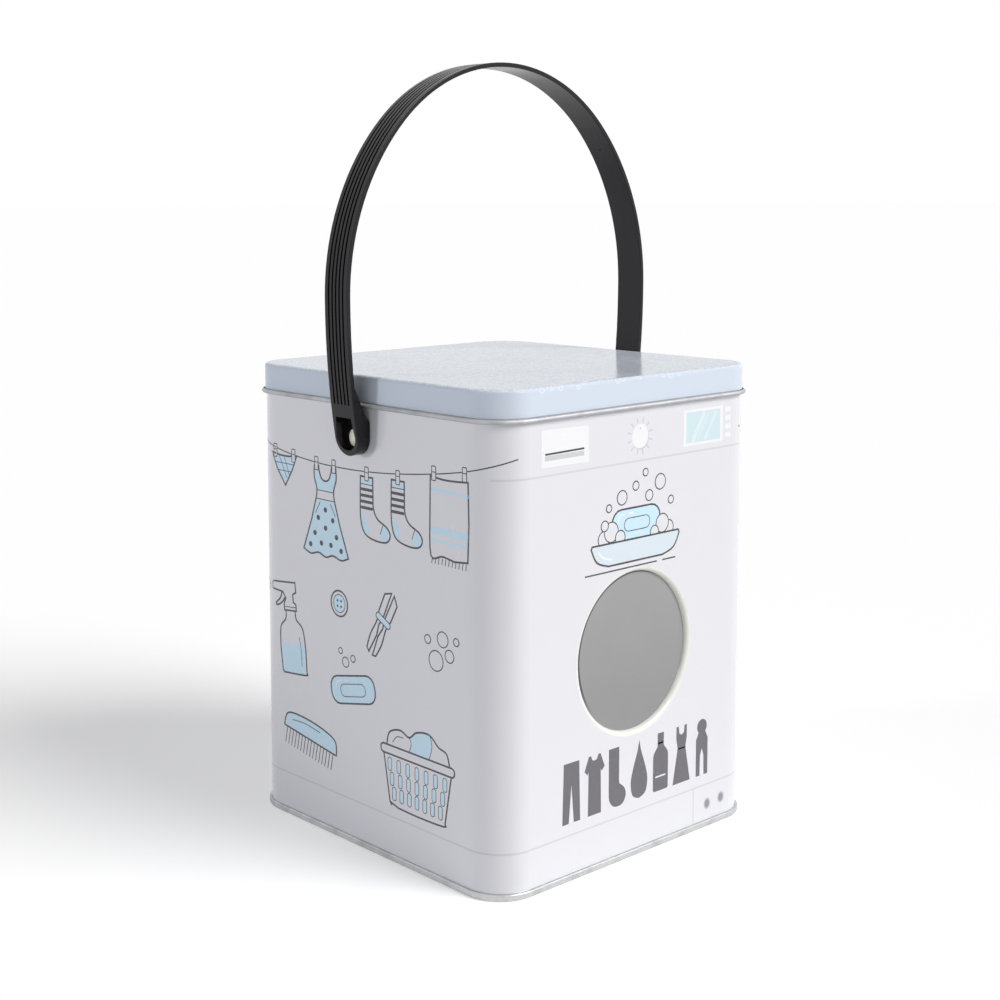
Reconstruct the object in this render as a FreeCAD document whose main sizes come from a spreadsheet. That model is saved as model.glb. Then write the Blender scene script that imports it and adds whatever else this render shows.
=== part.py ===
import FreeCAD, Part
import math
import os
import re
import Sketcher

# A square laundry tin: a folded sheet-metal body with a round window, a seamed-on base,
# a slip lid with a curled skirt, and a strap handle that swings on two rivets.
# Millimetres, +Z up. The origin is under the middle of the base, on the surface that the
# tin stands on. The window is in the -Y wall, the rivets are in the -X and +X walls.

doc = FreeCAD.newDocument("LaundryTin")

# ---- driving sizes ----

sizes = doc.addObject("Spreadsheet::Sheet", "Sizes")
driving = [
    ("tin_width", 160.0),
    ("tin_depth", 160.0),
    ("tin_height", 204.3),
    ("corner_radius", 17.0),
    ("sheet_metal", 0.35),
    ("layer_gap", 0.05),
    # top edge of the body, and the lock seam down its back
    ("rim_gap", 0.6),
    ("hem_height", 5.0),
    ("lock_seam_width", 7.0),
    ("lock_seam_base", 6.0),
    ("crease_width", 0.5),
    ("crease_depth", 0.15),
    # double seam round the base
    ("seam_height", 2.9),
    ("seam_round", 0.5),
    ("seam_foot_round", 0.8),
    ("base_recess", 2.4),
    ("panel_ring", 10.0),
    # slip lid
    ("lid_clearance", 0.3),
    ("skirt_height", 11.5),
    ("curl_radius", 0.95),
    ("lid_edge_round", 1.5),
    # window
    ("window_radius", 36.0),
    ("window_height", 88.3),
    ("lip_bend", 2.2),
    ("pane_thickness", 0.8),
    ("pane_overlap", 6.5),
    ("seal_width", 3.5),
    # handle
    ("pivot_below_curl", 12.9),
    ("pivot_setback", 3.6),
    ("strap_width", 14.8),
    ("strap_thickness", 2.0),
    ("strap_stand_off", 11.0),
    ("tongue_stand_off", 6.1),
    ("leg_rise", 59.0),
    ("shoulder_radius", 104.0),
    ("tongue_tip", 7.4),
    ("boss_gap", 0.2),
    ("boss_floor", 1.9),
    ("boss_flat", 7.0),
    ("boss_shoulder", 10.5),
    ("boss_curl_gap", 0.7),
    ("boss_top", 22.0),
    ("groove_count", 5),
    ("groove_depth", 0.6),
    ("groove_width", 1.0),
    ("groove_pitch", 2.3),
    ("groove_end", 14.5),
    ("pocket_top", 9.0),
    ("pocket_top_width", 9.8),
    ("pocket_radius", 6.1),
    ("pocket_rise", 1.0),
    ("strap_edge_round", 0.35),
    # rivets and the washers behind them
    ("shank_radius", 1.6),
    ("pivot_clearance", 0.05),
    ("rivet_head_radius", 3.75),
    ("rivet_head_height", 1.3),
    ("rivet_head_edge", 0.25),
    ("rivet_tail_radius", 2.7),
    ("rivet_tail_height", 0.8),
    ("washer_radius", 5.5),
    ("washer_thickness", 0.8),
]
worked_out = [
    ("half_width", "tin_width / 2"),
    ("half_depth", "tin_depth / 2"),
    ("body_top", "tin_height - sheet_metal - rim_gap"),
    ("hem_thickness", "2 * sheet_metal + layer_gap"),
    # the body wall, two hooks and the base's outer panel make up the double seam
    ("seam_proud", "3 * sheet_metal + 3 * layer_gap"),
    ("flange_base", "sheet_metal + layer_gap"),
    ("flange_reach", "2 * sheet_metal + 2 * layer_gap"),
    ("chuck_wall", "sheet_metal + layer_gap"),
    ("skirt_outside", "lid_clearance + sheet_metal"),
    ("curl_middle", "lid_clearance + curl_radius"),
    ("curl_height", "tin_height - skirt_height - curl_radius"),
    ("curl_inner_radius", "curl_radius - sheet_metal"),
    ("pane_radius", "window_radius + pane_overlap"),
    ("pivot_height", "curl_height - curl_radius - pivot_below_curl"),
    ("half_strap", "strap_thickness / 2"),
    # the strap has upright legs that are arcs, two shoulders and a tighter crown; the crown
    # meets the shoulders halfway round
    ("arch_radius", "half_width + strap_stand_off"),
    ("arch_height", "pivot_height + leg_rise"),
    ("leg_flare", "strap_stand_off - tongue_stand_off"),
    ("leg_radius", "(leg_rise ^ 2 + leg_flare ^ 2) / (2 * leg_flare)"),
    ("leg_middle", "leg_radius - arch_radius"),
    ("shoulder_middle", "shoulder_radius - arch_radius"),
    ("crown_middle", "arch_height + shoulder_middle"),
    ("tongue_base", "pivot_height - tongue_tip"),
    ("boss_inside", "half_width + boss_gap"),
    ("pocket_floor", "boss_inside + boss_floor"),
    ("pivot_hole", "shank_radius + pivot_clearance"),
    ("rivet_seat", "pocket_floor + layer_gap"),
    ("washer_seat", "half_width - sheet_metal"),
    ("washer_face", "washer_seat - washer_thickness"),
]
rows = [(name, str(size)) for name, size in driving]
rows += [(name, "=" + formula) for name, formula in worked_out]
for number, (name, content) in enumerate(rows, start=1):
    sizes.set("A%d" % number, name)
    sizes.set("B%d" % number, content)
    sizes.setAlias("B%d" % number, name)
doc.recompute()


# ---- helpers ----

def from_sheet(expression):
    # every size's name has an underscore, which no function or unit has
    return re.sub(r"\b([a-z]+(?:_[a-z]+)+)\b", r"Sizes.\1", expression)


def bind(thing, prop, expression):
    thing.setExpression(prop, from_sheet(expression))


def number_of(expression):
    return float(sizes.evalExpression(from_sheet(expression)))


def new_body(label):
    body = doc.addObject("PartDesign::Body", label)
    body.Label = label
    return body


def origin_plane(body, role):
    return next(f for f in body.Origin.OriginFeatures if f.Role == role)


def new_sketch(body, name, role, offset="0"):
    sketch = body.newObject("Sketcher::SketchObject", name)
    sketch.AttachmentSupport = [(origin_plane(body, role), "")]
    sketch.MapMode = "FlatFace"
    bind(sketch, "AttachmentOffset.Base.z", offset)
    return sketch


def pin(sketch, geometry, point, axis, expression):
    # fixes one coordinate of a sketch point by an expression
    if expression == "0":
        line = -2 if axis == "x" else -1
        sketch.addConstraint(Sketcher.Constraint("PointOnObject", geometry, point, line))
        return
    kind = "DistanceX" if axis == "x" else "DistanceY"
    size = number_of(expression)
    index = sketch.addConstraint(Sketcher.Constraint(kind, -1, 1, geometry, point, size))
    bind(sketch, "Constraints[%d]" % index, expression)


def draw(sketch, start, steps, closed=True):
    # Draws a chain of lines and arcs. start is an (x, y) pair of expressions. A step is
    # (x, y) for a line, or (x, y, middle_x, middle_y, "left" or "right") for an arc.
    # A closed chain ends where it began, by a line if its last step doesn't.
    if closed and steps[-1][:2] != start:
        steps = steps + [start]
    first = None
    before = None
    here = start
    for step in steps:
        begin = FreeCAD.Vector(number_of(here[0]), number_of(here[1]), 0)
        end = FreeCAD.Vector(number_of(step[0]), number_of(step[1]), 0)
        if len(step) == 2:
            index = sketch.addGeometry(Part.LineSegment(begin, end), False)
            tail, head = 1, 2
        else:
            middle = FreeCAD.Vector(number_of(step[2]), number_of(step[3]), 0)
            from_angle = math.atan2(begin.y - middle.y, begin.x - middle.x)
            to_angle = math.atan2(end.y - middle.y, end.x - middle.x)
            turn_left = step[4] == "left"
            low, high = (from_angle, to_angle) if turn_left else (to_angle, from_angle)
            if high <= low:
                high += 2 * math.pi
            circle = Part.Circle(middle, FreeCAD.Vector(0, 0, 1), (begin - middle).Length)
            index = sketch.addGeometry(Part.ArcOfCircle(circle, low, high), False)
            tail, head = (1, 2) if turn_left else (2, 1)
            pin(sketch, index, 3, "x", step[2])
            pin(sketch, index, 3, "y", step[3])
        if before is None:
            first = (index, tail)
            pin(sketch, index, tail, "x", start[0])
            pin(sketch, index, tail, "y", start[1])
        else:
            joint = Sketcher.Constraint("Coincident", before[0], before[1], index, tail)
            sketch.addConstraint(joint)
        back_at_start = closed and step is steps[-1]
        if back_at_start:
            joint = Sketcher.Constraint("Coincident", index, head, first[0], first[1])
            sketch.addConstraint(joint)
        elif len(step) == 2:
            pin(sketch, index, head, "x", step[0])
            pin(sketch, index, head, "y", step[1])
        else:
            # the arc leaves one coordinate of its end free: the one across its radius
            across = "y" if abs(end.x - middle.x) > abs(end.y - middle.y) else "x"
            pin(sketch, index, head, across, step[1] if across == "y" else step[0])
        before = (index, head)
        here = step
    return sketch


def draw_circle(sketch, x, y, radius):
    middle = FreeCAD.Vector(number_of(x), number_of(y), 0)
    circle = Part.Circle(middle, FreeCAD.Vector(0, 0, 1), number_of(radius))
    index = sketch.addGeometry(circle, False)
    pin(sketch, index, 3, "x", x)
    pin(sketch, index, 3, "y", y)
    rim = sketch.addConstraint(Sketcher.Constraint("Radius", index, number_of(radius)))
    bind(sketch, "Constraints[%d]" % rim, radius)
    return sketch


def draw_rectangle(sketch, left, bottom, right, top):
    return draw(sketch, (left, bottom), [(right, bottom), (right, top), (left, top)])


def add_feature(body, kind, name, profile, **properties):
    feature = body.newObject("PartDesign::" + kind, name)
    feature.Profile = profile
    for prop, setting in properties.items():
        if isinstance(setting, str) and prop != "Type":
            bind(feature, prop, setting)
        else:
            setattr(feature, prop, setting)
    return feature


def rounded_square(sketch, inset):
    # the tin's outline, moved in by inset, starting in the middle of the +X side
    across = "half_width - (%s)" % inset
    along = "half_depth - (%s)" % inset
    flat_x = "half_width - corner_radius"
    flat_y = "half_depth - corner_radius"
    return draw(sketch, (across, "0"), [
        (across, flat_y),
        (flat_x, along, flat_x, flat_y, "left"),
        ("-(%s)" % flat_x, along),
        ("-(%s)" % across, flat_y, "-(%s)" % flat_x, flat_y, "left"),
        ("-(%s)" % across, "-(%s)" % flat_y),
        ("-(%s)" % flat_x, "-(%s)" % along, "-(%s)" % flat_x, "-(%s)" % flat_y, "left"),
        (flat_x, "-(%s)" % along),
        (across, "-(%s)" % flat_y, flat_x, "-(%s)" % flat_y, "left"),
    ])


def out(distance):
    # x of a point that far outside the wall's outer face, on the +X side
    return "half_width + (%s)" % distance


def sweep_round(body, name, section):
    # carries a section round the tin's outline; the section is drawn on the +X side
    path = rounded_square(new_sketch(body, name + "_path", "XY_Plane"), "0")
    profile = new_sketch(body, name + "_section", "XZ_Plane")
    draw(profile, section[0], section[1:])
    pipe = add_feature(body, "AdditivePipe", name, profile)
    pipe.Spine = (path, ["Edge%d" % (number + 1) for number in range(path.GeometryCount)])
    return pipe


def pad_panel(body, name, underside):
    # the flat middle of the lid or the base, inside its swept edge
    outline = rounded_square(new_sketch(body, name + "_outline", "XY_Plane", underside),
                             "panel_ring")
    return add_feature(body, "Pad", name, outline, Length="sheet_metal")


def pierce_pivots(body, radius):
    hole = new_sketch(body, "pivot_circle", "YZ_Plane")
    draw_circle(hole, "pivot_setback", "pivot_height", radius)
    return add_feature(body, "Pocket", "pivot_holes", hole, Type="ThroughAll", Midplane=True)


# ---- the tin's body: one wrapped sheet ----

def make_body_wall():
    body = new_body("body_wall")
    sweep_round(body, "wall", [
        (out("-sheet_metal"), "flange_base"),
        (out("flange_reach"), "flange_base"),
        (out("flange_reach"), "seam_height - sheet_metal - layer_gap"),
        (out("flange_reach - sheet_metal"), "seam_height - sheet_metal - layer_gap"),
        (out("flange_reach - sheet_metal"), "flange_base + sheet_metal"),
        (out("0"), "flange_base + sheet_metal"),
        (out("0"), "body_top - hem_thickness / 2"),
        (out("-hem_thickness"), "body_top - hem_thickness / 2",
         out("-hem_thickness / 2"), "body_top - hem_thickness / 2", "left"),
        (out("-hem_thickness"), "body_top - hem_height"),
        (out("-sheet_metal"), "body_top - hem_height"),
    ])

    # lock seam: folded layers inside the back wall, and the crease that shows outside
    fold = new_sketch(body, "lock_seam_outline", "XY_Plane", "lock_seam_base")
    draw_rectangle(fold, "-lock_seam_width / 2", "half_depth - 4 * sheet_metal",
                   "lock_seam_width / 2", "half_depth - sheet_metal")
    seam_run = "body_top - hem_height - lock_seam_base"
    add_feature(body, "Pad", "lock_seam", fold, Length=seam_run)
    crease = new_sketch(body, "crease_outline", "XY_Plane", "lock_seam_base")
    draw_rectangle(crease, "lock_seam_width / 2 - crease_width", "half_depth - crease_depth",
                   "lock_seam_width / 2", "half_depth + crease_depth")
    add_feature(body, "Pocket", "lock_seam_crease", crease, Reversed=True, Length=seam_run)

    # round window in the front wall, its edge drawn inwards to a smooth lip
    hole = new_sketch(body, "window_circle", "XZ_Plane", "half_depth + lip_bend")
    draw_circle(hole, "0", "window_height", "window_radius")
    add_feature(body, "Pocket", "window", hole, Length="2 * lip_bend")
    lip = new_sketch(body, "lip_section", "YZ_Plane")
    bend_y = "-half_depth + lip_bend"
    bend_z = "window_height + window_radius"
    draw(lip, ("-half_depth", bend_z), [
        (bend_y, bend_z + " - lip_bend", bend_y, bend_z, "left"),
        (bend_y, bend_z + " - lip_bend + sheet_metal"),
        ("-half_depth + sheet_metal", bend_z, bend_y, bend_z, "right"),
    ])
    axis_ends = [FreeCAD.Vector(y, number_of("window_height"), 0) for y in (-10, 10)]
    axis = lip.addGeometry(Part.LineSegment(*axis_ends), True)
    for end, place in ((1, "-pane_radius"), (2, "pane_radius")):
        pin(lip, axis, end, "x", place)
        pin(lip, axis, end, "y", "window_height")
    add_feature(body, "Revolution", "window_lip", lip, ReferenceAxis=(lip, ["Axis0"]))

    pierce_pivots(body, "pivot_hole")
    return body


# ---- base: a recessed panel whose edge is rolled round the body's flange ----

def make_base_panel():
    body = new_body("base_panel")
    panel_top = "base_recess + sheet_metal"
    inner = "-chuck_wall - sheet_metal"
    sweep_round(body, "double_seam", [
        (out("-panel_ring"), "base_recess"),
        (out(inner), "base_recess"),
        (out(inner), "seam_round"),
        (out(inner + " + seam_round"), "0",
         out(inner + " + seam_round"), "seam_round", "left"),
        (out("seam_proud - seam_foot_round"), "0"),
        (out("seam_proud"), "seam_foot_round",
         out("seam_proud - seam_foot_round"), "seam_foot_round", "left"),
        (out("seam_proud"), "seam_height - seam_round"),
        (out("seam_proud - seam_round"), "seam_height",
         out("seam_proud - seam_round"), "seam_height - seam_round", "left"),
        (out("layer_gap"), "seam_height"),
        (out("layer_gap"), "flange_base + sheet_metal + layer_gap"),
        (out("layer_gap + sheet_metal"), "flange_base + sheet_metal + layer_gap"),
        (out("layer_gap + sheet_metal"), "seam_height - sheet_metal"),
        (out("seam_proud - sheet_metal"), "seam_height - sheet_metal"),
        (out("seam_proud - sheet_metal"), "sheet_metal"),
        (out("-chuck_wall"), "sheet_metal"),
        (out("-chuck_wall"), panel_top),
        (out("-panel_ring"), panel_top),
    ])
    pad_panel(body, "panel", "base_recess")
    return body


# ---- lid: a drawn cap whose skirt ends in an outward curl ----

def make_lid():
    body = new_body("lid")
    shoulder = "skirt_outside - lid_edge_round"
    shoulder_z = "tin_height - lid_edge_round"
    curl_x = out("curl_middle")
    sweep_round(body, "skirt", [
        (out("-panel_ring"), "tin_height - sheet_metal"),
        (out(shoulder), "tin_height - sheet_metal"),
        (out("lid_clearance"), shoulder_z, out(shoulder), shoulder_z, "right"),
        (out("lid_clearance"), "curl_height"),
        (curl_x, "curl_height + curl_radius", curl_x, "curl_height", "left"),
        (curl_x, "curl_height + curl_inner_radius"),
        (out("skirt_outside"), "curl_height", curl_x, "curl_height", "right"),
        (out("skirt_outside"), shoulder_z),
        (out(shoulder), "tin_height", out(shoulder), shoulder_z, "left"),
        (out("-panel_ring"), "tin_height"),
    ])
    pad_panel(body, "panel", "tin_height - sheet_metal")
    return body


# ---- window pane, and the seal that fills the depth of the lip behind the wall ----

def make_window_pane():
    body = new_body("window_pane")
    disc = new_sketch(body, "pane_circle", "XZ_Plane", "half_depth - lip_bend")
    draw_circle(disc, "0", "window_height", "pane_radius")
    add_feature(body, "Pad", "pane", disc, Reversed=True, Length="pane_thickness")
    return body


def make_window_seal():
    body = new_body("window_seal")
    ring = new_sketch(body, "seal_circles", "XZ_Plane", "half_depth - lip_bend")
    draw_circle(ring, "0", "window_height", "pane_radius")
    draw_circle(ring, "0", "window_height", "pane_radius - seal_width")
    add_feature(body, "Pad", "seal", ring, Length="lip_bend - sheet_metal")
    return body


# ---- handle: a grooved strap that ends in two pocketed bosses ----

def leg_x(grow, drop):
    # x of the right leg, grown outwards from its middle line, that far below the arch
    radius = "(leg_radius + (%s))" % grow
    return "sqrt(%s ^ 2 - (%s) ^ 2) - leg_middle" % (radius, drop)


def arch_steps(grow, to_z, side):
    # up one leg, over the shoulders and the crown and down the other leg, to the height to_z
    top = "arch_radius + (%s)" % grow
    reach = "(shoulder_radius + (%s)) / sqrt(2)" % grow
    joint_x = reach + " - shoulder_middle"
    joint_z = reach + " + arch_height"
    leg_end = leg_x(grow, "arch_height - (%s)" % to_z)
    if side == "right":
        return [
            ("-(%s)" % top, "arch_height", "leg_middle", "arch_height", "right"),
            ("-(%s)" % joint_x, joint_z, "shoulder_middle", "arch_height", "right"),
            (joint_x, joint_z, "0", "crown_middle", "right"),
            (top, "arch_height", "-shoulder_middle", "arch_height", "right"),
            (leg_end, to_z, "-leg_middle", "arch_height", "right"),
        ]
    return [
        (top, "arch_height", "-leg_middle", "arch_height", "left"),
        (joint_x, joint_z, "-shoulder_middle", "arch_height", "left"),
        ("-(%s)" % joint_x, joint_z, "0", "crown_middle", "left"),
        ("-(%s)" % top, "arch_height", "shoulder_middle", "arch_height", "left"),
        ("-(%s)" % leg_end, to_z, "leg_middle", "arch_height", "left"),
    ]


def make_handle():
    body = new_body("handle")
    shoulder_x = out("curl_middle + curl_radius + boss_curl_gap")
    flat_z = "pivot_height + boss_flat"
    shoulder_z = "pivot_height + boss_shoulder"
    boss_z = "pivot_height + boss_top"
    strap = new_sketch(body, "strap_outline", "XZ_Plane", "-pivot_setback")
    draw(strap, ("-(%s)" % leg_x("half_strap", "arch_height - tongue_base"), "tongue_base"),
         arch_steps("half_strap", "tongue_base", "right") + [
        ("boss_inside", "tongue_base"),
        ("boss_inside", flat_z),
        (shoulder_x, shoulder_z),
        (leg_x("-half_strap", "arch_height - (%s)" % boss_z), boss_z),
    ] + arch_steps("-half_strap", boss_z, "left") + [
        ("-(%s)" % shoulder_x, shoulder_z),
        ("-boss_inside", flat_z),
        ("-boss_inside", "tongue_base"),
    ])
    add_feature(body, "Pad", "strap", strap, Midplane=True, Length="strap_width")

    # the tongues' ends are half circles as wide as the strap
    tip = new_sketch(body, "tip_outline", "YZ_Plane")
    tip_z = "tongue_base + strap_width / 2"
    near = "pivot_setback - strap_width / 2"
    far = "pivot_setback + strap_width / 2"
    draw(tip, (near, tip_z), [
        (far, tip_z, "pivot_setback", tip_z, "left"),
        (far + " + tongue_tip", tip_z),
        (far + " + tongue_tip", "tongue_base - tongue_tip"),
        (near + " - tongue_tip", "tongue_base - tongue_tip"),
        (near + " - tongue_tip", tip_z),
    ])
    tips = add_feature(body, "Pocket", "round_tips", tip, Type="ThroughAll", Midplane=True)

    # every long edge of the strap is eased, on round the tongues' ends
    doc.recompute()
    sides = ["Face%d" % (number + 1) for number, face in enumerate(tips.Shape.Faces)
             if abs(face.normalAt(0, 0).y) > 0.99]
    edges = body.newObject("PartDesign::Fillet", "strap_edges")
    edges.Base = (tips, sides)
    bind(edges, "Radius", "strap_edge_round")

    # grooves that run along the outside of the strap and stop above the bosses
    groove_z = "pivot_height + groove_end"
    first_groove = "-pivot_setback - groove_pitch * (groove_count - 1) / 2"
    band = new_sketch(body, "groove_outline", "XZ_Plane", first_groove)
    outside = "half_strap + groove_depth"
    floor = "half_strap - groove_depth"
    drop = "arch_height - (%s)" % groove_z
    draw(band, ("-(%s)" % leg_x(outside, drop), groove_z),
         arch_steps(outside, groove_z, "right") + [(leg_x(floor, drop), groove_z)]
         + arch_steps(floor, groove_z, "left"))
    groove = add_feature(body, "Pocket", "groove", band, Midplane=True, Length="groove_width")
    pattern = body.newObject("PartDesign::LinearPattern", "grooves")
    pattern.Originals = [groove]
    pattern.Direction = (band, ["N_Axis"])
    bind(pattern, "Length", "groove_pitch * (groove_count - 1)")
    bind(pattern, "Occurrences", "groove_count")
    body.Tip = pattern

    # a pocket in each boss, open outwards, with the rivet's head at its bottom
    pocket = new_sketch(body, "pocket_outline", "YZ_Plane", "-pocket_floor")
    pocket_z = "pivot_height + pocket_rise"
    draw(pocket, ("pivot_setback - pocket_radius", pocket_z), [
        ("pivot_setback + pocket_radius", pocket_z, "pivot_setback", pocket_z, "left"),
        ("pivot_setback + pocket_top_width / 2", "pivot_height + pocket_top"),
        ("pivot_setback - pocket_top_width / 2", "pivot_height + pocket_top"),
    ])
    left_pocket = add_feature(body, "Pocket", "left_pocket", pocket, Type="ThroughAll")
    both = body.newObject("PartDesign::Mirrored", "both_pockets")
    both.Originals = [left_pocket]
    both.MirrorPlane = (origin_plane(body, "YZ_Plane"), [""])
    body.Tip = both

    pierce_pivots(body, "pivot_hole")
    return body


# ---- rivets and washers, one of each on either side ----

def make_rivet(label, side):
    body = new_body(label)
    section = new_sketch(body, "rivet_section", "XY_Plane", "pivot_height")

    def place(x):
        return "%d * (%s)" % (side, x)

    def ring(radius):
        return "pivot_setback + (%s)" % radius

    cap = "(rivet_head_height - rivet_head_edge)"
    cap_radius = "((rivet_head_radius ^ 2 + %s ^ 2) / (2 * %s))" % (cap, cap)
    tail_radius = ("((rivet_tail_radius ^ 2 + rivet_tail_height ^ 2)"
                   " / (2 * rivet_tail_height))")
    head_turn, tail_turn = ("right", "right") if side < 0 else ("left", "left")
    tail_end = "washer_face - rivet_tail_height"
    draw(section, (place("rivet_seat"), ring("shank_radius")), [
        (place("washer_face"), ring("shank_radius")),
        (place("washer_face"), ring("rivet_tail_radius")),
        (place(tail_end), "pivot_setback",
         place("%s + %s" % (tail_end, tail_radius)), "pivot_setback", tail_turn),
        (place("rivet_seat + rivet_head_height"), "pivot_setback"),
        (place("rivet_seat + rivet_head_edge"), ring("rivet_head_radius"),
         place("rivet_seat + rivet_head_height - %s" % cap_radius), "pivot_setback",
         head_turn),
        (place("rivet_seat"), ring("rivet_head_radius")),
    ])
    axis_ends = [FreeCAD.Vector(x, number_of("pivot_setback"), 0) for x in (-1, 1)]
    axis = section.addGeometry(Part.LineSegment(*axis_ends), True)
    for end, x in ((1, "-half_width"), (2, "half_width")):
        pin(section, axis, end, "x", x)
        pin(section, axis, end, "y", "pivot_setback")
    add_feature(body, "Revolution", "rivet", section, ReferenceAxis=(section, ["Axis0"]))
    return body


def make_washer(label, side):
    body = new_body(label)
    seat = "-washer_seat" if side < 0 else "washer_face"
    ring = new_sketch(body, "washer_circles", "YZ_Plane", seat)
    draw_circle(ring, "pivot_setback", "pivot_height", "washer_radius")
    draw_circle(ring, "pivot_setback", "pivot_height", "pivot_hole")
    add_feature(body, "Pad", "washer", ring, Length="washer_thickness")
    return body


parts = [
    make_body_wall(),
    make_base_panel(),
    make_lid(),
    make_window_pane(),
    make_window_seal(),
    make_handle(),
]
for name, side in (("left", -1), ("right", 1)):
    parts.append(make_rivet("rivet_" + name, side))
    parts.append(make_washer("washer_" + name, side))
doc.recompute()

# ---- check and write ----

for thing in doc.Objects:
    if "Invalid" in thing.State or "Error" in thing.State:
        raise RuntimeError("%s failed: %s" % (thing.Label, thing.State))
os.makedirs("parts", exist_ok=True)
for part in parts:
    shape = part.Shape
    if shape.isNull() or not shape.isValid() or len(shape.Solids) != 1:
        raise RuntimeError(part.Label + " is not one valid solid")
    shape.exportStep("parts/%s.step" % part.Label)
    box = shape.BoundBox
    print("%-12s %10.1f mm3  x %.2f..%.2f  y %.2f..%.2f  z %.2f..%.2f" % (
        part.Label, shape.Volume, box.XMin, box.XMax, box.YMin, box.YMax, box.ZMin, box.ZMax))
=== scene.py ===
import math
import bpy
import bmesh
from mathutils import Matrix, Vector


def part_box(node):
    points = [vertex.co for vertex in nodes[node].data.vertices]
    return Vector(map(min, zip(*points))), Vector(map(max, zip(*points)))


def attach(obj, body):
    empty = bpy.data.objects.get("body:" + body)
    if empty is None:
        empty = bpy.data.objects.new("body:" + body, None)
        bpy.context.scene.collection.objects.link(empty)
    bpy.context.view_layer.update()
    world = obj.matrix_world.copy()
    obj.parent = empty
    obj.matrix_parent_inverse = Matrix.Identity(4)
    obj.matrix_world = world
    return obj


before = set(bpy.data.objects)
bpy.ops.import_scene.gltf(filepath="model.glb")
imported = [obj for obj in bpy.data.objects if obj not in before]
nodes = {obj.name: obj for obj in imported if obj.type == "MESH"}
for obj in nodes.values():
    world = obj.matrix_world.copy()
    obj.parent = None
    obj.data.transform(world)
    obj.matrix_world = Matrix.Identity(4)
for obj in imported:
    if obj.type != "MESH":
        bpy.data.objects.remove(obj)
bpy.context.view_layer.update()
print("frame loaded:", len(nodes), "nodes")

mm = 0.001
tin = {
    "half": 80 * mm,          # middle to the outer face of a wall
    "corner": 17 * mm,
    "top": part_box("lid")[1].z,
    "curlTop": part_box("lid")[0].z + 1.9 * mm,
    "windowHeight": 88.3 * mm,
    "windowRadius": 36 * mm,
    "coat": {"Coat Weight": 0.35, "Coat Roughness": 0.08},      # clear coat on the walls and their print
}


def addNode(tree, kind, inputs=None, **settings):
    # inputs may hold plain values or the output sockets of other nodes
    node = tree.nodes.new("ShaderNode" + kind)
    for name, setting in settings.items():
        setattr(node, name, setting)
    for socket, source in (inputs or {}).items():
        if isinstance(source, bpy.types.NodeSocket):
            tree.links.new(source, node.inputs[socket])
        else:
            node.inputs[socket].default_value = source
    return node


def maths(tree, operation, a, b=0.0, c=0.0):
    inputs = {0: a, 1: b, 2: c}
    return addNode(tree, "Math", inputs, operation=operation).outputs[0]


def vectorMaths(tree, operation, a, b=(0, 0, 0)):
    # b is a number for SCALE
    inputs = {0: a, ("Scale" if operation == "SCALE" else 1): b}
    node = addNode(tree, "VectorMath", inputs, operation=operation)
    return node.outputs["Value" if operation in ("DOT_PRODUCT", "LENGTH") else "Vector"]


def softStep(tree, value, low, high, atLow=0.0, atHigh=1.0):
    inputs = {"Value": value, "From Min": low, "From Max": high, "To Min": atLow, "To Max": atHigh}
    node = addNode(tree, "MapRange", inputs, interpolation_type="SMOOTHSTEP")
    return node.outputs["Result"]


def mixValues(tree, factor, a, b):
    return addNode(tree, "Mix", {0: factor, 2: a, 3: b}, data_type="FLOAT").outputs[0]


def mixColours(tree, factor, a, b):
    return addNode(tree, "Mix", {0: factor, 6: a, 7: b}, data_type="RGBA").outputs[2]


def linear(red, green, blue):
    # a display colour, 0 to 255, as the shaders take it
    parts = [part / 255 for part in (red, green, blue)]
    return tuple(part / 12.92 if part <= 0.04045 else ((part + 0.055) / 1.055) ** 2.4 for part in parts) + (1.0,)


def noise(tree, vector, size, detail=2.0, roughness=0.5):
    inputs = {"Vector": vector, "Scale": 1 / size, "Detail": detail, "Roughness": roughness}
    return addNode(tree, "TexNoise", inputs).outputs["Fac"]


def newGroup(name, inputs, outputs):
    tree = bpy.data.node_groups.new(name, "ShaderNodeTree")
    for label, kind, standard in inputs:
        socket = tree.interface.new_socket(label, in_out="INPUT", socket_type="NodeSocket" + kind)
        if standard is not None:
            socket.default_value = standard
    for label, kind in outputs:
        tree.interface.new_socket(label, in_out="OUTPUT", socket_type="NodeSocket" + kind)
    return tree, tree.nodes.new("NodeGroupInput"), tree.nodes.new("NodeGroupOutput")


def useGroup(tree, group, inputs):
    return addNode(tree, "Group", inputs, node_tree=group).outputs


def directRays(tree):
    # 1 for rays that show a thing, straight, mirrored or through glass; 0 for those that only light others
    rays = addNode(tree, "LightPath").outputs
    mirrored = maths(tree, "MAXIMUM", rays["Is Glossy Ray"], rays["Is Transmission Ray"])
    return maths(tree, "MAXIMUM", rays["Is Camera Ray"], mirrored)


def newMaterial(name, settings):
    material = bpy.data.materials.new(name)
    material.use_nodes = True
    tree = material.node_tree
    shader = tree.nodes["Principled BSDF"]
    for socket, setting in settings.items():
        shader.inputs[socket].default_value = setting
    place = addNode(tree, "TexCoord")
    return material, tree, shader, place.outputs["Object"], place.outputs["Normal"]


def addBump(tree, shader, height, distance, strength):
    bump = addNode(tree, "Bump", {"Height": height, "Distance": distance, "Strength": strength})
    tree.links.new(bump.outputs["Normal"], shader.inputs["Normal"])


def giveMaterial(name, material):
    slots = nodes[name].data.materials
    if len(slots) == 0:
        slots.append(material)
    for number in range(len(slots)):
        slots[number] = material


def addObject(name, data):
    thing = bpy.data.objects.new(name, data)
    bpy.context.scene.collection.objects.link(thing)
    return thing


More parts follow.
